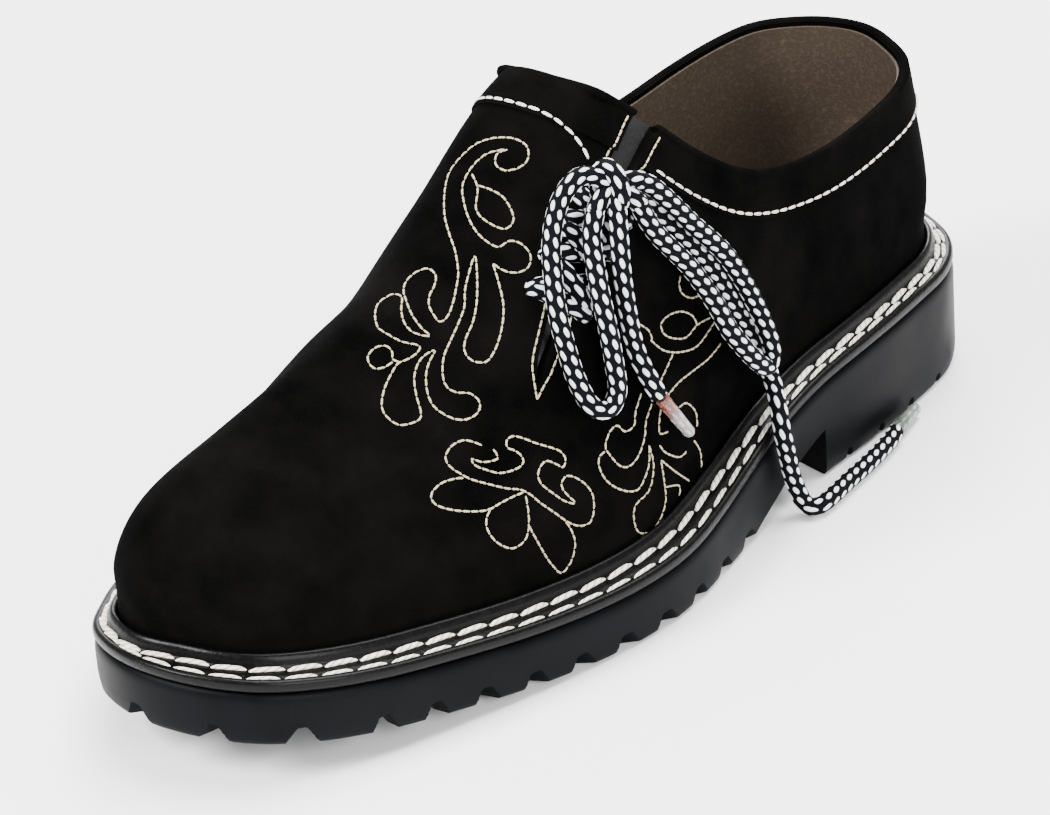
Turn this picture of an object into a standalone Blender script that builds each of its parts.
"""Left traditional shoe, laced at the side, on a cleated rubber sole.

Metres, +Z up. The toe points to -Y and the outer side of the foot is +X.
The origin is on the floor, under the middle of the sole.
"""
import math

import bmesh
import bpy
from mathutils import Vector
from mathutils.bvhtree import BVHTree

# Driving dimensions, in metres.
SOLE_LENGTH = 0.304
BALL_WIDTH = 0.112
HEEL_WIDTH = 0.088
FOREFOOT_RUBBER = 0.0147
HEEL_RUBBER = 0.0290
TOE_SPRING = 0.0132
HEEL_LENGTH = 0.098
BREAST_BOW = 0.007
ARCH_RISE = 0.0155
LUG_DEPTH = 0.0052
TREAD_RECESS = 0.0036
WELT_THICKNESS = 0.0035
WELT_LEDGE = 0.0102
HEEL_LEDGE = 0.0078
TOE_LEDGE_LOSS = 0.0034
WELT_LIP = 0.0060
RIDGE_HEIGHT = 0.0040
RIDGE_WIDTH = 0.0028
INSOLE_THICKNESS = 0.0030
INSTEP_HEIGHT = 0.129
COLLAR_HEIGHT = 0.090
UPPER_WALL = 0.0022
SIDE_BULGE = 0.0015
BULGE_START = 0.007
BULGE_FULL = 0.018
BULGE_END = 0.050
BAND_WIDTH = 0.0120
BAND_STEP = 0.0007
SLIT_WIDTH = 0.0072
TONGUE_WALL = 0.0016
TONGUE_OVERLAP = 0.0120
LACE_DIAMETER = 0.0050
AGLET_DIAMETER = 0.0042
KNOT_RADIUS = 0.0055
HOLE_DIAMETER = 0.0048
HOLE_EDGE = 0.0036
LACE_CLEARANCE = 0.0006
RING_SIDE = 0.0160
RING_TOE = 0.0270
PEG_LENGTH = 0.0165
HEEL_BLOCK = 0.0190
HEEL_PEG = 0.0110
EDGE_ROUND = 0.0016
EDGE_SHOULDER = 0.0022
WALL_SHOULDER = 0.0075
BED_DROP = 0.010
SLIT_TIP = 0.0008
HOLE_REACH = 0.005
NOTCH_HALF = 0.0026
NOTCH_FLARE = 0.0028
SLOT_HALF = 0.0012
SLOT_FLARE = 0.0003
PEG_SPACE = 0.0013
PEG_SKIP = 0.0030
HEEL_SPACE = 0.0018
STUD_ROOT = 0.0010
OUTSIDE = 0.004
GAP = 0.0003
TOE_PITCH = 1.5

# Counts.
SIDE_STATIONS = 33
LEVELS = 10
OUTER_GROOVES = 10
INNER_GROOVES = 9
TOE_GROOVES = 5
HEEL_GROOVES = 15

# Plan outline of the sole: along is a share of its length from the heel,
# outer and inner are half widths as shares of the local width.
OUTLINE = [
    {"along": 0.000, "outer": 0.000, "inner": 0.000},
    {"along": 0.016, "outer": 0.197, "inner": 0.225},
    {"along": 0.049, "outer": 0.365, "inner": 0.385},
    {"along": 0.098, "outer": 0.464, "inner": 0.466},
    {"along": 0.163, "outer": 0.496, "inner": 0.500},
    {"along": 0.245, "outer": 0.509, "inner": 0.497},
    {"along": 0.327, "outer": 0.505, "inner": 0.470},
    {"along": 0.409, "outer": 0.491, "inner": 0.483},
    {"along": 0.490, "outer": 0.492, "inner": 0.485},
    {"along": 0.572, "outer": 0.491, "inner": 0.506},
    {"along": 0.654, "outer": 0.456, "inner": 0.540},
    {"along": 0.735, "outer": 0.400, "inner": 0.566},
    {"along": 0.817, "outer": 0.326, "inner": 0.555},
    {"along": 0.882, "outer": 0.264, "inner": 0.508},
    {"along": 0.931, "outer": 0.196, "inner": 0.440},
    {"along": 0.971, "outer": 0.104, "inner": 0.363},
    {"along": 0.990, "outer": 0.010, "inner": 0.277},
    {"along": 1.000, "outer": -0.140, "inner": 0.140},
]

# Top of the rubber: rise is the share of the heel's extra height.
RUBBER_TOP = [
    {"along": 0.00, "rise": 1.03},
    {"along": 0.20, "rise": 1.00},
    {"along": 0.33, "rise": 0.84},
    {"along": 0.46, "rise": 0.31},
    {"along": 0.54, "rise": 0.07},
    {"along": 0.64, "rise": 0.00},
    {"along": 1.00, "rise": 0.00},
]
SPRING_START = 0.64
SPRING_POWER = 1.7

# Underside of the waist, from the first lug back to the heel breast.
WAIST = [
    {"along": 0.462, "rise": 0.00},
    {"along": 0.440, "rise": 0.17},
    {"along": 0.405, "rise": 0.40},
    {"along": 0.360, "rise": 0.72},
    {"along": 0.320, "rise": 0.93},
    {"along": 0.270, "rise": 1.05},
]

# Sections of the upper: ridge is the height of its top line as a share of
# the instep's height, lean its offset to the outer side as a share of the
# ball width, and fullness the power of the rounded cross section.
SECTIONS = [
    {"along": 0.02, "ridge": 1.120, "lean": 0.000, "fullness": 2.5},
    {"along": 0.20, "ridge": 1.110, "lean": 0.000, "fullness": 2.5},
    {"along": 0.36, "ridge": 1.070, "lean": -0.010, "fullness": 2.3},
    {"along": 0.50, "ridge": 1.000, "lean": -0.040, "fullness": 2.1},
    {"along": 0.58, "ridge": 0.856, "lean": -0.060, "fullness": 1.90},
    {"along": 0.66, "ridge": 0.717, "lean": -0.080, "fullness": 1.74},
    {"along": 0.74, "ridge": 0.662, "lean": -0.100, "fullness": 1.64},
    {"along": 0.82, "ridge": 0.606, "lean": -0.120, "fullness": 2.15},
    {"along": 0.90, "ridge": 0.586, "lean": -0.135, "fullness": 2.70},
    {"along": 0.98, "ridge": 0.645, "lean": -0.143, "fullness": 2.90},
]
SPINE_START = 0.16
SPINE_END = 0.85

# Collar line in side view: height is a share of the rise from the back of
# the collar to the top of the instep.
COLLAR = [
    {"along": -0.10, "height": 0.02},
    {"along": 0.03, "height": 0.00},
    {"along": 0.15, "height": -0.10},
    {"along": 0.27, "height": -0.11},
    {"along": 0.355, "height": 0.04},
    {"along": 0.415, "height": 0.36},
    {"along": 0.465, "height": 0.78},
    {"along": 0.515, "height": 1.20},
]

# Lacing slit in side view, from its closed end up to the collar: height is
# a share of the instep's height, width of the slit's full width.
SLIT = [
    {"along": 0.647, "height": 0.522, "width": 0.12},
    {"along": 0.6305, "height": 0.573, "width": 0.35},
    {"along": 0.598, "height": 0.659, "width": 0.50},
    {"along": 0.576, "height": 0.705, "width": 0.58},
    {"along": 0.553, "height": 0.753, "width": 0.66},
    {"along": 0.527, "height": 0.800, "width": 0.78},
    {"along": 0.498, "height": 0.847, "width": 0.90},
    {"along": 0.468, "height": 0.885, "width": 1.00},
    {"along": 0.440, "height": 0.913, "width": 1.00},
    {"along": 0.398, "height": 0.970, "width": 1.00},
]

# Pairs of lace holes, as positions along the rows of the slit.
LACE_PAIRS = [2.0, 3.05, 4.0, 4.9]

# Four-lobed studs in the tread: across is a share of the ball width.
STUDS = [
    {"along": 0.160, "across": 0.010},
    {"along": 0.236, "across": 0.010},
    {"along": 0.487, "across": -0.009},
    {"along": 0.547, "across": -0.062},
    {"along": 0.588, "across": 0.050},
    {"along": 0.616, "across": -0.098},
    {"along": 0.653, "across": 0.022},
    {"along": 0.683, "across": -0.122},
    {"along": 0.722, "across": -0.008},
    {"along": 0.774, "across": -0.080},
]
STUD_RADIUS = 0.0078
STUD_TURN = math.radians(10)
STUD_LOBE = [
    {"turn": -17, "radius": 0.89},
    {"turn": 0, "radius": 1.00},
    {"turn": 17, "radius": 0.89},
    {"turn": 45, "radius": 0.48},
]

KNOT = (0.0341, -0.0124, 0.1112)

# Centre lines of the free laces, in metres from the knot outwards.
LACE_ROUTES = {
    "lace_loop_front": [
        (0.0302, -0.0178, 0.1153),
        (0.0288, -0.0197, 0.1148),
        (0.0272, -0.0231, 0.1118),
        (0.0268, -0.0266, 0.1072),
        (0.0280, -0.0305, 0.1017),
        (0.0305, -0.0341, 0.0950),
        (0.0338, -0.0375, 0.0870),
        (0.0366, -0.0385, 0.0780),
        (0.0393, -0.0386, 0.0695),
        (0.0425, -0.0374, 0.0626),
        (0.0447, -0.0335, 0.0604),
        (0.0450, -0.0298, 0.0639),
        (0.0440, -0.0290, 0.0713),
        (0.0425, -0.0286, 0.0801),
        (0.0398, -0.0272, 0.0880),
        (0.0366, -0.0246, 0.0953),
        (0.0343, -0.0222, 0.1015),
        (0.0338, -0.0192, 0.1072),
    ],
    "lace_end_front": [
        (0.0378, -0.0155, 0.1064),
        (0.0390, -0.0171, 0.1015),
        (0.0400, -0.0184, 0.0950),
        (0.0411, -0.0194, 0.0876),
        (0.0421, -0.0196, 0.0801),
        (0.0430, -0.0194, 0.0734),
        (0.0446, -0.0195, 0.0684),
        (0.0467, -0.0184, 0.0624),
        (0.0482, -0.0170, 0.0576),
    ],
    "lace_loop_rear": [
        (0.0379, -0.0067, 0.1112),
        (0.0393, -0.0030, 0.1083),
        (0.0408, 0.0009, 0.1035),
        (0.0421, 0.0048, 0.0983),
        (0.0433, 0.0086, 0.0932),
        (0.0458, 0.0168, 0.0830),
        (0.0475, 0.0215, 0.0743),
        (0.0492, 0.0253, 0.0648),
        (0.0508, 0.0275, 0.0567),
        (0.0516, 0.0283, 0.0499),
        (0.0519, 0.0255, 0.0470),
        (0.0518, 0.0211, 0.0507),
        (0.0507, 0.0164, 0.0572),
        (0.0493, 0.0128, 0.0635),
        (0.0480, 0.0105, 0.0700),
        (0.0465, 0.0075, 0.0768),
        (0.0449, 0.0035, 0.0841),
        (0.0436, -0.0003, 0.0895),
        (0.0418, -0.0045, 0.0955),
        (0.0408, -0.0075, 0.1010),
        (0.0398, -0.0096, 0.1066),
    ],
    "lace_end_rear": [
        (0.0341, -0.0073, 0.1067),
        (0.0340, -0.0035, 0.1040),
        (0.0361, 0.0012, 0.0988),
        (0.0386, 0.0068, 0.0920),
        (0.0407, 0.0128, 0.0833),
        (0.0423, 0.0179, 0.0746),
        (0.0439, 0.0228, 0.0641),
        (0.0450, 0.0273, 0.0554),
        (0.0459, 0.0315, 0.0469),
        (0.0470, 0.0332, 0.0405),
        (0.0495, 0.0318, 0.0365),
        (0.0522, 0.0292, 0.0330),
        (0.0537, 0.0282, 0.0275),
        (0.0540, 0.0293, 0.0210),
        (0.0541, 0.0308, 0.0140),
        (0.0547, 0.0322, 0.0085),
        (0.0562, 0.0331, 0.0042),
        (0.0583, 0.0340, 0.0028),
        (0.0594, 0.0372, 0.0026),
        (0.0592, 0.0430, 0.0026),
        (0.0585, 0.0501, 0.0026),
        (0.0580, 0.0583, 0.0026),
        (0.0571, 0.0678, 0.0026),
        (0.0558, 0.0758, 0.0026),
        (0.0548, 0.0797, 0.0026),
    ],
}
AGLET_ROUTES = {
    "aglet_front": [(0.0484, -0.0164, 0.0566), (0.0508, -0.0080, 0.0430)],
    "aglet_rear": [(0.0547, 0.0801, 0.0026), (0.0522, 0.0945, 0.0026)],
}
ROUTE_STEP = 0.0065


def slope(rows, column, index):
    """Tangent at a row of a table, from its neighbours."""
    low = max(index - 1, 0)
    high = min(index + 1, len(rows) - 1)
    return (rows[high][1][column] - rows[low][1][column]) / (rows[high][0] - rows[low][0])


def read(rows, column, at, key=lambda along: along):
    """Value of a column at a share of the length, on a smooth curve through the rows."""
    keyed = sorted(((key(row["along"]), row) for row in rows), key=lambda pair: pair[0])
    at = key(at)
    if at <= keyed[0][0]:
        return keyed[0][1][column]
    if at >= keyed[-1][0]:
        return keyed[-1][1][column]
    last = next(i for i, pair in enumerate(keyed) if pair[0] >= at)
    (x0, row0), (x1, row1) = keyed[last - 1], keyed[last]
    step = x1 - x0
    t = (at - x0) / step
    rise0 = slope(keyed, column, last - 1) * step
    rise1 = slope(keyed, column, last) * step
    return (
        (2 * t**3 - 3 * t**2 + 1) * row0[column]
        + (t**3 - 2 * t**2 + t) * rise0
        + (3 * t**2 - 2 * t**3) * row1[column]
        + (t**3 - t**2) * rise1
    )


def ramp(value, low, high):
    """Smooth step from 0 at low to 1 at high."""
    t = min(max((value - low) / (high - low), 0.0), 1.0)
    return t * t * (3 - 2 * t)


def turn_of(along):
    """Half turn round the outline, which spaces stations closer at heel and toe."""
    return math.acos(1 - 2 * min(max(along, 0.0), 1.0)) / math.pi


def along_of(turn):
    """Share of the length at a half turn round the outline."""
    return (1 - math.cos(math.pi * turn)) / 2


def local_width(along):
    """Width that the outline's shares refer to."""
    return HEEL_WIDTH + (BALL_WIDTH - HEEL_WIDTH) * ramp(along, 0.30, 0.65)


def half_width(column, along):
    """Half width of the sole on its outer or inner side."""
    return read(OUTLINE, column, along, turn_of) * local_width(along)


def sole_middle():
    """Middle of the sole's width, which is laid on the origin."""
    rows = [along_of(i / 200) for i in range(201)]
    outer = max(half_width("outer", along) for along in rows)
    inner = max(half_width("inner", along) for along in rows)
    return (outer - inner) / 2


MIDDLE = sole_middle()


def place(along, across, height):
    """World point at a share of the length, a distance to the outer side and a height."""
    return Vector((across - MIDDLE, SOLE_LENGTH * (0.5 - along), height))


def along_at(point):
    """Share of the length at a world point."""
    return 0.5 - point[1] / SOLE_LENGTH


def spring(along):
    """Rise of the sole from the ball to the toe."""
    start = max(along - SPRING_START, 0.0) / (1 - SPRING_START)
    return TOE_SPRING * start**SPRING_POWER


def rubber_top(along):
    """Height of the rubber's upper face."""
    rise = read(RUBBER_TOP, "rise", along)
    return FOREFOOT_RUBBER + (HEEL_RUBBER - FOREFOOT_RUBBER) * rise + spring(along)


def welt_top(along):
    """Height of the welt's upper face."""
    return rubber_top(along) + GAP + WELT_THICKNESS


def seat(along):
    """Height at which the foot of the upper stands."""
    return welt_top(along) + GAP


def outline():
    """Closed plan outline of the sole: heel, outer side, toe, inner side."""
    turns = [i / SIDE_STATIONS for i in range(SIDE_STATIONS + 1)]
    outer = [place(along_of(t), half_width("outer", along_of(t)), 0) for t in turns]
    inner = [place(along_of(t), -half_width("inner", along_of(t)), 0) for t in turns[1:-1]]
    return outer + inner[::-1]


def inward(points, index):
    """Plan direction into the outline at one of its points."""
    before = points[index - 1]
    after = points[(index + 1) % len(points)]
    run = (after - before).normalized()
    return Vector((run.y, -run.x, 0))


def inset(points, depth):
    """Outline moved inwards; depth is a length or a function of the outline's point."""
    moved = []
    for index, point in enumerate(points):
        amount = depth(point) if callable(depth) else depth
        moved.append(point + inward(points, index) * amount)
    return moved


def ledge(point):
    """Width of the welt that shows outside the upper, narrower at the inner side of the toe."""
    along = along_at(point)
    across = point[0] + MIDDLE
    full = HEEL_LEDGE + (WELT_LEDGE - HEEL_LEDGE) * ramp(along, 0.25, 0.60)
    inner_toe = ramp(along, 0.84, 0.95) * ramp(-across / BALL_WIDTH, 0.05, 0.25)
    return full - TOE_LEDGE_LOSS * inner_toe


def lifted(points, height):
    """Outline points raised to a height that is a function of the share of the length."""
    return [Vector((p.x, p.y, height(along_at(p)))) for p in points]


def new_object(name, mesh, collection, material=None):
    """Object in a collection, shaded smooth with sharp edges kept."""
    made = bpy.data.objects.new(name, mesh)
    collection.objects.link(made)
    if material:
        mesh.materials.append(material)
        mesh.shade_smooth()
        mesh.set_sharp_from_angle(angle=math.radians(32))
    return made


def mesh_from(name, shape):
    """Mesh from a bmesh, with its faces turned outwards."""
    bmesh.ops.recalc_face_normals(shape, faces=shape.faces)
    mesh = bpy.data.meshes.new(name)
    shape.to_mesh(mesh)
    shape.free()
    return mesh


def add_rings(shape, rings, closed=False):
    """Quads between rings of equal count; closed joins the last ring to the first."""
    made = [[shape.verts.new(point) for point in ring] for ring in rings]
    count = len(made[0])
    pairs = list(zip(made, made[1:] + made[:1])) if closed else list(zip(made, made[1:]))
    for low, high in pairs:
        for i in range(count):
            k = (i + 1) % count
            shape.faces.new((low[i], low[k], high[k], high[i]))
    return made


def add_cap(shape, ring):
    """Strips across a ring, from its outer side to its inner side."""
    count = len(ring)
    for i in range(count // 2):
        corners = [ring[i], ring[i + 1], ring[count - i - 1], ring[(count - i) % count]]
        face = list(dict.fromkeys(corners))
        shape.faces.new(face)


def capped(name, rings):
    """Closed mesh through rings, with a cap at each end."""
    shape = bmesh.new()
    made = add_rings(shape, rings)
    add_cap(shape, made[0])
    add_cap(shape, made[-1])
    return mesh_from(name, shape)


def ring_loft(name, rings):
    """Closed band through rings that follow one another round its section."""
    shape = bmesh.new()
    add_rings(shape, rings, closed=True)
    return mesh_from(name, shape)


def prism(name, sections):
    """Closed mesh through polygons of equal count, with flat ends."""
    shape = bmesh.new()
    made = add_rings(shape, sections)
    shape.faces.new(made[0])
    shape.faces.new(made[-1])
    return mesh_from(name, shape)


def joined(name, meshes, collection):
    """One helper object from several meshes that don't touch."""
    shape = bmesh.new()
    for mesh in meshes:
        shape.from_mesh(mesh)
        bpy.data.meshes.remove(mesh)
    mesh = bpy.data.meshes.new(name)
    shape.to_mesh(mesh)
    shape.free()
    return helper(name, mesh, collection)


def helper(name, mesh, collection):
    """Object that only cuts or joins, and isn't rendered."""
    made = new_object(name, mesh, collection)
    made.hide_render = True
    made.display_type = "WIRE"
    return made


def boolean(target, tool, operation, solver="EXACT"):
    """Boolean modifier; the manifold solver serves where the exact one leaves nothing."""
    modifier = target.modifiers.new(f"{operation.lower()}_{tool.name}", "BOOLEAN")
    modifier.operation = operation
    modifier.object = tool
    modifier.solver = solver


def finish_material(name, colour, roughness, metallic=0.0):
    """Principled material."""
    material = bpy.data.materials.new(name)
    material.use_nodes = True
    shader = material.node_tree.nodes["Principled BSDF"]
    shader.inputs["Base Color"].default_value = (*colour, 1.0)
    shader.inputs["Roughness"].default_value = roughness
    shader.inputs["Metallic"].default_value = metallic
    material.diffuse_color = (*colour, 1.0)
    return material


def sole_body():
    """Rubber unit before its tread is cut, with a raised bed inside the welt."""
    edge = outline()
    bed = inset(edge, lambda p: ledge(p) + WELT_LIP + GAP)
    rings = [
        lifted(inset(edge, EDGE_ROUND), spring),
        lifted(inset(edge, EDGE_ROUND / 4), lambda a: spring(a) + EDGE_SHOULDER),
        lifted(inset(edge, 0.0), lambda a: spring(a) + WALL_SHOULDER),
        lifted(inset(edge, EDGE_ROUND / 5), lambda a: rubber_top(a) - EDGE_SHOULDER),
        lifted(inset(edge, EDGE_ROUND), rubber_top),
        lifted(bed, rubber_top),
        lifted(bed, welt_top),
    ]
    return capped("outsole", rings)


def waist_cut(collection):
    """Cutter under the waist, from the bowed heel breast to the first lug."""
    rows = 9
    reach = BALL_WIDTH * 0.6
    sections = []
    for row in range(rows):
        across = reach * (2 * row / (rows - 1) - 1)
        bow = BREAST_BOW * max(0.0, 1 - (across / (HEEL_WIDTH / 2)) ** 2)
        breast = (HEEL_LENGTH - bow) / SOLE_LENGTH
        profile = [place(breast, across, -BED_DROP)]
        profile.append(place(breast, across, ARCH_RISE * read(WAIST, "rise", breast)))
        for point in sorted(WAIST, key=lambda item: item["along"]):
            if point["along"] > HEEL_LENGTH / SOLE_LENGTH + 0.01:
                height = ARCH_RISE * point["rise"]
                profile.append(place(point["along"], across, height))
        profile.append(place(max(point["along"] for point in WAIST), across, -BED_DROP))
        sections.append(profile)
    return helper("waist_cut", prism("waist_cut", sections), collection)


class Tread:
    """Lines across the tread, from the edge of the sole towards its middle."""

    def __init__(self, start, end):
        self.edge = outline()
        self.start = start
        self.end = end
        self.length = [0.0]
        for a, b in zip(self.edge, self.edge[1:] + self.edge[:1]):
            self.length.append(self.length[-1] + (b - a).length)

    def at(self, distance):
        """Point on the outline at a distance round it from the heel."""
        total = self.length[-1]
        distance %= total
        index = max(i for i, length in enumerate(self.length) if length <= distance)
        index = min(index, len(self.edge) - 1)
        a = self.edge[index]
        b = self.edge[(index + 1) % len(self.edge)]
        share = (distance - self.length[index]) / (self.length[index + 1] - self.length[index])
        return a.lerp(b, share)

    def reach(self, side, along):
        """Distance round the outline to a share of the length on one side."""
        half = self.length[SIDE_STATIONS]
        total = self.length[-1]
        low, high = (0.0, half) if side == "outer" else (half, total)
        for _ in range(40):
            mid = (low + high) / 2
            ahead = along_at(self.at(mid)) < along
            if ahead == (side == "outer"):
                low = mid
            else:
                high = mid
        return low

    def centre(self, point):
        """Point of the tread's middle line that a line from the edge aims at."""
        along = self.start + (self.end - self.start) * along_at(point)
        across = (half_width("outer", along) - half_width("inner", along)) / 2
        return place(along, across, 0)

    def inside(self, point, depth):
        """Point at a depth from the edge on the line to the middle."""
        towards = (self.centre(point) - point).normalized()
        return point + towards * depth


FOREFOOT = Tread(0.50, 0.83)
HEEL = Tread(0.20, 0.62)


def ring_depth(point):
    """Distance from the edge to the ring line, wider round the toe."""
    return RING_SIDE + (RING_TOE - RING_SIDE) * ramp(along_at(point), 0.86, 0.97)


def groove(name, tread, point, stations):
    """Cutter along a tread line: each station has depth in, half width, flare and height."""
    towards = (tread.centre(point) - point).normalized()
    side = Vector((-towards.y, towards.x, 0))
    sections = []
    for depth, half, flare, height in stations:
        middle = point + towards * depth
        lift = spring(along_at(middle))
        low = Vector((0, 0, lift - OUTSIDE))
        high = Vector((0, 0, lift + height))
        sections.append([
            middle - side * (half + flare) + low,
            middle + side * (half + flare) + low,
            middle + side * half + high,
            middle - side * half + high,
        ])
    return prism(name, sections)


def forefoot_grooves():
    """Cutters between the lugs from the outer waist round the toe to the inner waist."""
    first = FOREFOOT.reach("outer", 0.462)
    last = FOREFOOT.reach("inner", 0.462)
    toe = [TOE_PITCH] * (TOE_GROOVES + 1)
    steps = [1.0] * (OUTER_GROOVES - 1) + toe + [1.0] * (INNER_GROOVES - 1)
    pitch = (last - first) / sum(steps)
    distance = first
    made = []
    for index, step in enumerate(steps + [0.0]):
        point = FOREFOOT.at(distance)
        ring = ring_depth(point)
        on_side = index < OUTER_GROOVES or index >= OUTER_GROOVES + TOE_GROOVES
        half_gap = PEG_SKIP if index % 2 and on_side else PEG_SPACE
        stations = [
            (-OUTSIDE, NOTCH_HALF, NOTCH_FLARE, LUG_DEPTH),
            (ring * 0.35, SLOT_HALF, SLOT_FLARE, LUG_DEPTH * 0.9),
            (ring - SLOT_HALF, SLOT_HALF, SLOT_FLARE, TREAD_RECESS),
            (ring + NOTCH_HALF, half_gap, SLOT_FLARE, TREAD_RECESS),
            (ring + PEG_LENGTH + STUD_ROOT, half_gap, SLOT_FLARE, TREAD_RECESS),
        ]
        made.append(groove(f"forefoot_groove_{index}", FOREFOOT, point, stations))
        distance += step * pitch
    return made


def heel_grooves():
    """Cutters between the lugs round the heel."""
    first = HEEL.reach("inner", 0.285)
    last = HEEL.reach("outer", 0.285) + HEEL.length[-1]
    made = []
    for index in range(HEEL_GROOVES):
        point = HEEL.at(first + (last - first) * index / (HEEL_GROOVES - 1))
        stations = [
            (-OUTSIDE, SLOT_HALF, 2 * SLOT_FLARE, LUG_DEPTH * 0.62),
            (HEEL_BLOCK * 0.4, SLOT_HALF * 0.8, SLOT_FLARE, TREAD_RECESS),
            (HEEL_BLOCK - SLOT_HALF, SLOT_HALF * 0.8, SLOT_FLARE, TREAD_RECESS),
            (HEEL_BLOCK + HEEL_SPACE, HEEL_SPACE, SLOT_FLARE, TREAD_RECESS),
            (HEEL_BLOCK + HEEL_PEG + STUD_ROOT, HEEL_SPACE * 0.8, SLOT_FLARE, TREAD_RECESS),
        ]
        made.append(groove(f"heel_groove_{index}", HEEL, point, stations))
    return made


def recess(name, tread, depth, low, high):
    """Cutter for the sunk middle of the tread between two shares of the length."""
    sections = []
    for station in range(1, SIDE_STATIONS):
        pair = [tread.edge[station], tread.edge[-station]]
        outer, inner = [tread.inside(point, depth(point)) for point in pair]
        if low < along_at(outer) < high:
            sections.append([
                outer + Vector((0, 0, spring(along_at(outer)) - OUTSIDE)),
                outer + Vector((0, 0, spring(along_at(outer)) + TREAD_RECESS)),
                inner + Vector((0, 0, spring(along_at(inner)) + TREAD_RECESS)),
                inner + Vector((0, 0, spring(along_at(inner)) - OUTSIDE)),
            ])
    return prism(name, sections)


def stud(index, row):
    """Four-lobed stud that stands on the floor of the tread."""
    centre = place(row["along"], row["across"] * BALL_WIDTH, 0)
    rings = []
    for height in (0.0, TREAD_RECESS + STUD_ROOT):
        ring = []
        for quarter in range(4):
            for lobe in STUD_LOBE:
                angle = STUD_TURN + math.radians(90 * quarter + lobe["turn"])
                arm = Vector((math.cos(angle), math.sin(angle), 0)) * STUD_RADIUS * lobe["radius"]
                point = centre + arm
                ring.append(point + Vector((0, 0, spring(along_at(point)) + height)))
        rings.append(ring)
    return prism(f"stud_{index}", rings)


def build_outsole(parts, tools, material):
    """Rubber sole unit with heel, waist, lugs and studs."""
    sole = new_object("outsole", sole_body(), parts, material)
    boolean(sole, waist_cut(tools), "DIFFERENCE")
    middles = [
        recess("forefoot_recess", FOREFOOT, lambda p: ring_depth(p) + PEG_LENGTH, 0.40, 0.90),
        recess("heel_recess", HEEL, lambda p: HEEL_BLOCK + HEEL_PEG, 0.10, 0.345),
    ]
    boolean(sole, joined("tread_middle", middles, tools), "DIFFERENCE")
    boolean(sole, joined("forefoot_grooves", forefoot_grooves(), tools), "DIFFERENCE", "MANIFOLD")
    boolean(sole, joined("heel_grooves", heel_grooves(), tools), "DIFFERENCE", "MANIFOLD")
    studs = [stud(index, row) for index, row in enumerate(STUDS)]
    boolean(sole, joined("studs", studs, tools), "UNION", "MANIFOLD")
    return sole


def build_welt(parts, material):
    """Stitched strip round the sole with a raised ridge against the foot of the upper."""
    edge = outline()
    levels = [
        (0.25 * WELT_THICKNESS, 0.0),
        (0.0, 0.35 * WELT_THICKNESS),
        (0.03 * WELT_THICKNESS, 0.70 * WELT_THICKNESS),
        (0.25 * WELT_THICKNESS, WELT_THICKNESS),
    ]
    rings = [
        lifted(inset(edge, depth), lambda a, h=height: rubber_top(a) + GAP + h)
        for depth, height in levels
    ]
    ridge = [
        (GAP + RIDGE_WIDTH, 0.0),
        (GAP + RIDGE_WIDTH * 0.92, RIDGE_HEIGHT * 0.55),
        (GAP + RIDGE_WIDTH * 0.55, RIDGE_HEIGHT),
        (GAP, RIDGE_HEIGHT * 0.90),
        (GAP, 0.0),
    ]
    for depth, height in ridge:
        ring = inset(edge, lambda p, d=depth: ledge(p) - d)
        rings.append(lifted(ring, lambda a, h=height: welt_top(a) + h))
    lip = inset(edge, lambda p: ledge(p) + WELT_LIP)
    rings.append(lifted(lip, welt_top))
    rings.append(lifted(lip, lambda a: rubber_top(a) + GAP))
    return new_object("welt", ring_loft("welt", rings), parts, material)


def build_insole(parts, material):
    """Insole board inside the foot of the upper."""
    ring = inset(outline(), lambda p: ledge(p) + UPPER_WALL + 2 * GAP)
    rings = [
        lifted(ring, seat),
        lifted(ring, lambda a: seat(a) + INSOLE_THICKNESS),
    ]
    return new_object("insole", capped("insole", rings), parts, material)


def spine(along):
    """Point of the upper's top line in plan that a side point aims at."""
    at = SPINE_START + (SPINE_END - SPINE_START) * along
    return place(at, read(SECTIONS, "lean", at) * BALL_WIDTH, 0)


def last_point(foot, centre, level):
    """Point of the upper's outer face on the line from its foot to the spine.

    level runs from 0 at the foot of the upper to 1 on its top line.
    """
    fullness = read(SECTIONS, "fullness", along_at(centre))
    angle = math.pi / 2 * level
    share = math.cos(angle) ** (2 / fullness) if level < 1 else 0.0
    rise = math.sin(angle) ** (2 / fullness)
    plan = centre + (foot - centre) * share
    along = along_at(plan)
    top = read(SECTIONS, "ridge", along) * INSTEP_HEIGHT
    height = (top - seat(along)) * rise
    fade = 1 - ramp(height, BULGE_FULL, min(BULGE_END, top - seat(along)))
    bulge = SIDE_BULGE * ramp(height, BULGE_START, BULGE_FULL) * fade
    plan += (foot - centre).normalized() * bulge
    return Vector((plan.x, plan.y, seat(along) + height))


def last_surface():
    """Open surface of the upper's outer face as a bmesh."""
    feet = inset(outline(), ledge)
    stations = list(range(SIDE_STATIONS + 1)) + list(range(SIDE_STATIONS - 1, 0, -1))
    centres = [spine(along_of(station / SIDE_STATIONS)) for station in stations]
    lines = list(zip(feet, centres))
    rings = [[last_point(*line, level / LEVELS) for line in lines] for level in range(LEVELS + 1)]
    shape = bmesh.new()
    add_rings(shape, rings)
    bmesh.ops.remove_doubles(shape, verts=shape.verts, dist=1e-6)
    bmesh.ops.recalc_face_normals(shape, faces=shape.faces)
    shape.normal_update()
    if max(shape.verts, key=lambda v: v.co.z).normal.z < 0:
        bmesh.ops.reverse_faces(shape, faces=shape.faces)
        shape.normal_update()
    return shape


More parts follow.
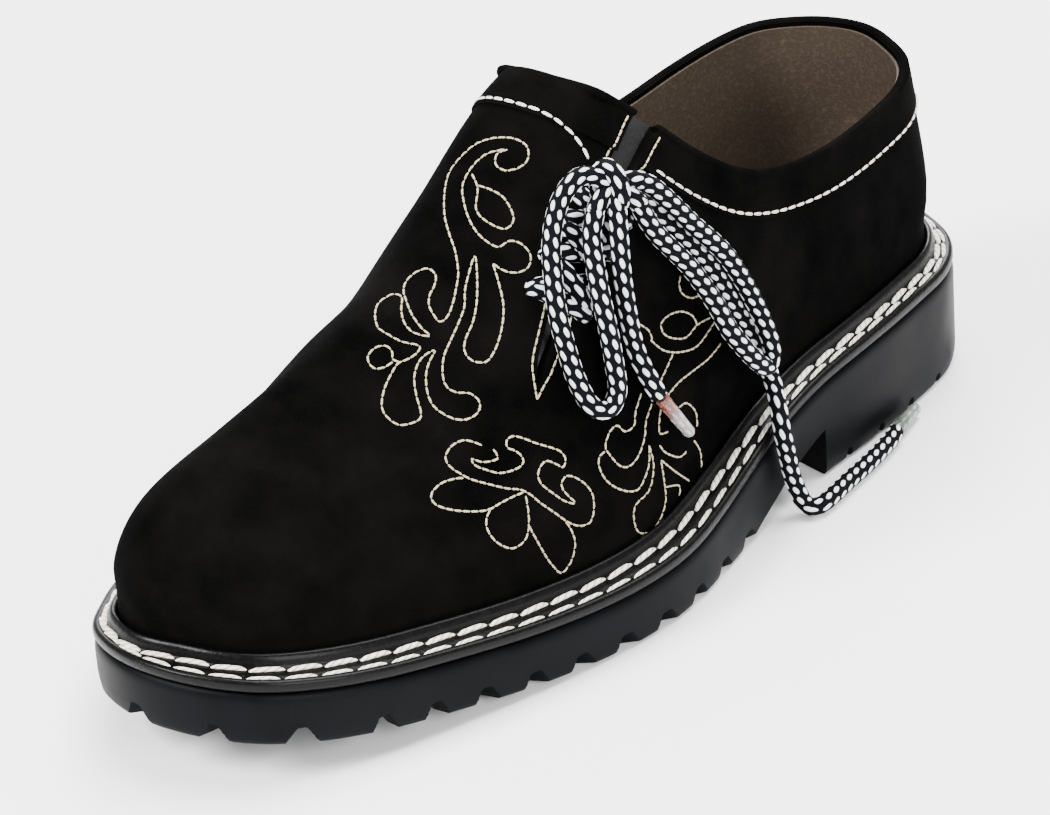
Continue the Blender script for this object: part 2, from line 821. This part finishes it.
def last_form(name, offset, foot_drop=0.0):
    """Closed form of the upper, moved out by an offset, with its base lowered."""
    shape = last_surface()
    rim = [v for v in shape.verts if any(len(e.link_faces) == 1 for e in v.link_edges)]
    on_rim = set(rim)
    moved = {}
    for vert in shape.verts:
        direction = vert.normal.copy()
        if vert in on_rim:
            direction.z = 0
            direction.normalize()
        moved[vert] = vert.co + direction * offset
    for vert, co in moved.items():
        vert.co = co
    shape.verts.index_update()
    edges = [e for e in shape.edges if len(e.link_faces) == 1]
    base = ordered_rim(edges)
    if foot_drop:
        low = [shape.verts.new(v.co - Vector((0, 0, foot_drop))) for v in base]
        for i in range(len(base)):
            k = (i + 1) % len(base)
            shape.faces.new((base[i], base[k], low[k], low[i]))
        base = low
    add_cap(shape, base)
    return mesh_from(name, shape)


def ordered_rim(edges):
    """Rim vertices in order round the foot, from the heel along the outer side."""
    follow = {}
    for edge in edges:
        for a, b in (edge.verts, reversed(edge.verts)):
            follow.setdefault(a, []).append(b)
    start = max(follow, key=lambda v: v.co.y)
    ring = [start, max(follow[start], key=lambda v: v.co.x)]
    while len(ring) < len(follow):
        a, b = follow[ring[-1]]
        ring.append(b if a is ring[-2] else a)
    return ring


def collar_line(drop):
    """Collar line in side view as pairs of along and height, lowered square to itself."""
    rise = INSTEP_HEIGHT - COLLAR_HEIGHT
    steps = 26
    low = COLLAR[0]["along"]
    high = COLLAR[-1]["along"]
    points = []
    for i in range(steps + 1):
        along = low + (high - low) * i / steps
        height = COLLAR_HEIGHT + rise * read(COLLAR, "height", along)
        points.append(Vector((along * SOLE_LENGTH, height)))
    moved = []
    for i, point in enumerate(points):
        run = (points[min(i + 1, steps)] - points[max(i - 1, 0)]).normalized()
        moved.append(point + Vector((run.y, -run.x)) * drop)
    return moved


def above_collar(name, drop, collection):
    """Cutter for all that lies above the collar line."""
    reach = BALL_WIDTH
    ceiling = INSTEP_HEIGHT * 1.6
    line = collar_line(drop)
    profile = [(p.x, p.y) for p in line]
    profile += [(line[-1].x + 0.01, ceiling), (line[0].x, ceiling)]
    sections = [
        [place(s / SOLE_LENGTH, across, height) for s, height in profile]
        for across in (-reach, reach)
    ]
    return helper(name, prism(name, sections), collection)


def slit_row(position):
    """Middle, square direction and half width of the slit in side view, at a position in its rows."""
    index = min(int(position), len(SLIT) - 2)
    part = position - index
    a, b = SLIT[index], SLIT[index + 1]
    low = Vector((a["along"] * SOLE_LENGTH, a["height"] * INSTEP_HEIGHT))
    high = Vector((b["along"] * SOLE_LENGTH, b["height"] * INSTEP_HEIGHT))
    run = (high - low).normalized()
    half = (a["width"] + (b["width"] - a["width"]) * part) * SLIT_WIDTH / 2
    return low.lerp(high, part), Vector((-run.y, run.x)), half


def slit_cut(name, margin, collection):
    """Cutter through the outer side wall along the slit, widened by a margin."""
    steps = 12
    left = []
    right = []
    for i in range(steps + 1):
        middle, square, half = slit_row(i / steps * (len(SLIT) - 1))
        left.append(middle + square * (half + margin))
        right.append(middle - square * (half + margin))
    tip, square, _ = slit_row(0.0)
    forward = Vector((square.y, -square.x)) * (SLIT_TIP + margin)
    profile = left[::-1] + [tip - forward] + right
    sections = [
        [place(p.x / SOLE_LENGTH, across, p.y) for p in profile]
        for across in (MIDDLE + OUTSIDE, BALL_WIDTH)
    ]
    return helper(name, prism(name, sections), collection)


def on_surface(tree, side_view):
    """Point and normal of the upper's outer face on the outer side, at a point in side view."""
    start = place(side_view.x / SOLE_LENGTH, BALL_WIDTH, side_view.y)
    point, normal, _, _ = tree.ray_cast(start, Vector((-1, 0, 0)))
    return point, normal


def hole_centre(pair, side):
    """Lace hole in side view; side is 1 towards the toe and -1 towards the heel."""
    middle, square, half = slit_row(LACE_PAIRS[pair])
    return middle + square * side * (half + HOLE_EDGE)


def lace_holes(tree, collection):
    """Cutters for the lace holes, square to the upper."""
    meshes = []
    for pair in range(len(LACE_PAIRS)):
        for side in (1, -1):
            point, normal = on_surface(tree, hole_centre(pair, side))
            turn = normal.to_track_quat("Z", "Y")
            ring = [math.tau * i / 12 for i in range(12)]
            arms = [Vector((math.cos(a), math.sin(a), 0)) * HOLE_DIAMETER / 2 for a in ring]
            sections = [
                [point + normal * depth + turn @ arm for arm in arms] for depth in (-HOLE_REACH, HOLE_REACH)
            ]
            meshes.append(prism(f"hole_{pair}_{side}", sections))
    return joined("lace_holes", meshes, collection)


def build_upper(parts, tools, material):
    """Hollow upper: a wall with a stepped collar band, open underneath and at the slit."""
    upper = new_object("upper", last_form("upper", 0.0), parts, material)
    band = helper("band_form", last_form("band_form", BAND_STEP), tools)
    boolean(band, above_collar("above_band", BAND_WIDTH, tools), "INTERSECT")
    boolean(upper, band, "UNION")
    boolean(upper, helper("inside", last_form("inside", -UPPER_WALL, BED_DROP), tools), "DIFFERENCE")
    boolean(upper, above_collar("above_collar", 0.0, tools), "DIFFERENCE")
    boolean(upper, slit_cut("slit", 0.0, tools), "DIFFERENCE", "MANIFOLD")
    tree = BVHTree.FromBMesh(last_surface())
    boolean(upper, lace_holes(tree, tools), "DIFFERENCE", "MANIFOLD")
    return upper


def build_tongue(parts, tools, material):
    """Side tongue behind the lacing slit, following the inner face of the upper."""
    outer = -(UPPER_WALL + GAP)
    tongue = new_object("side_tongue", last_form("side_tongue", outer), parts, material)
    core = last_form("tongue_core", outer - TONGUE_WALL, BED_DROP)
    boolean(tongue, helper("tongue_core", core, tools), "DIFFERENCE")
    boolean(tongue, slit_cut("tongue_field", TONGUE_OVERLAP, tools), "INTERSECT")
    boolean(tongue, bpy.data.objects["above_collar"], "DIFFERENCE")
    return tongue


def smooth_route(points, step):
    """Even points on a smooth curve through a route."""
    points = [Vector(point) for point in points]
    fine = []
    for i in range(len(points) - 1):
        a = points[max(i - 1, 0)]
        b, c = points[i], points[i + 1]
        d = points[min(i + 2, len(points) - 1)]
        for k in range(8):
            t = k / 8
            fine.append(
                0.5 * (2 * b + (c - a) * t + (2 * a - 5 * b + 4 * c - d) * t**2)
                + 0.5 * (3 * b - a - 3 * c + d) * t**3
            )
    fine.append(points[-1])
    lengths = [0.0]
    for a, b in zip(fine, fine[1:]):
        lengths.append(lengths[-1] + (b - a).length)
    count = max(2, round(lengths[-1] / step))
    even = []
    for i in range(count + 1):
        at = lengths[-1] * i / count
        k = max(j for j, length in enumerate(lengths[:-1]) if length <= at)
        share = (at - lengths[k]) / (lengths[k + 1] - lengths[k])
        even.append(fine[k].lerp(fine[k + 1], min(share, 1.0)))
    return even


def tube_mesh(name, points, diameter):
    """Closed tube along a line of points."""
    curve = bpy.data.curves.new(name, "CURVE")
    curve.dimensions = "3D"
    curve.bevel_depth = diameter / 2
    curve.bevel_resolution = 2
    curve.use_fill_caps = True
    line = curve.splines.new("POLY")
    line.points.add(len(points) - 1)
    for spot, point in zip(line.points, points):
        spot.co = (*point, 1.0)
    holder = bpy.data.objects.new(name, curve)
    mesh = bpy.data.meshes.new_from_object(holder)
    bpy.data.objects.remove(holder)
    bpy.data.curves.remove(curve)
    shape = bmesh.new()
    shape.from_mesh(mesh)
    bpy.data.meshes.remove(mesh)
    bmesh.ops.remove_doubles(shape, verts=shape.verts, dist=1e-5)
    return mesh_from(name, shape)


def lace_strand(name, tree, start, end):
    """Tube over the upper between two holes."""
    lift = LACE_DIAMETER / 2 + LACE_CLEARANCE
    points = []
    for share in (0.0, 0.33, 0.67, 1.0):
        point, normal = on_surface(tree, start.lerp(end, share))
        points.append(point + normal * lift)
    return tube_mesh(name, points, LACE_DIAMETER)


def build_crossings(parts, tools, material):
    """Laces over the slit: a bar at the lowest holes and a cross between each two pairs."""
    tree = BVHTree.FromBMesh(last_surface())
    bar = lace_strand("lace_crossings", tree, hole_centre(0, 1), hole_centre(0, -1))
    lacing = new_object("lace_crossings", bar, parts, material)
    for pair in range(len(LACE_PAIRS) - 1):
        for side in (1, -1):
            name = f"strand_{pair}_{side}"
            mesh = lace_strand(name, tree, hole_centre(pair, side), hole_centre(pair + 1, -side))
            boolean(lacing, helper(name, mesh, tools), "UNION", "MANIFOLD")
    return lacing


def build_laces(parts, material, tip):
    """Knot, loops, ends and tips of the lace."""
    shape = bmesh.new()
    bmesh.ops.create_uvsphere(shape, u_segments=12, v_segments=8, radius=KNOT_RADIUS)
    bmesh.ops.translate(shape, verts=shape.verts, vec=KNOT)
    new_object("lace_knot", mesh_from("lace_knot", shape), parts, material)
    for name, route in LACE_ROUTES.items():
        points = smooth_route(route, ROUTE_STEP)
        new_object(name, tube_mesh(name, points, LACE_DIAMETER), parts, material)
    for name, route in AGLET_ROUTES.items():
        new_object(name, tube_mesh(name, route, AGLET_DIAMETER), parts, tip)


def main():
    """Clears the scene and builds the shoe."""
    for old in list(bpy.data.objects):
        bpy.data.objects.remove(old, do_unlink=True)
    parts = bpy.data.collections.new("traditional_shoe")
    tools = bpy.data.collections.new("cutters")
    bpy.context.scene.collection.children.link(parts)
    bpy.context.scene.collection.children.link(tools)
    rubber = finish_material("rubber", (0.022, 0.023, 0.028), 0.55)
    leather = finish_material("welt_leather", (0.016, 0.013, 0.012), 0.30)
    board = finish_material("insole_leather", (0.10, 0.075, 0.05), 0.70)
    suede = finish_material("suede", (0.018, 0.016, 0.015), 0.95)
    lining = finish_material("tongue_leather", (0.020, 0.018, 0.017), 0.75)
    braid = finish_material("lace_braid", (0.30, 0.30, 0.32), 0.80)
    tip = finish_material("clear_tip", (0.35, 0.25, 0.20), 0.15)
    build_outsole(parts, tools, rubber)
    build_welt(parts, leather)
    build_insole(parts, board)
    build_upper(parts, tools, suede)
    build_tongue(parts, tools, lining)
    build_crossings(parts, tools, braid)
    build_laces(parts, braid, tip)


main()
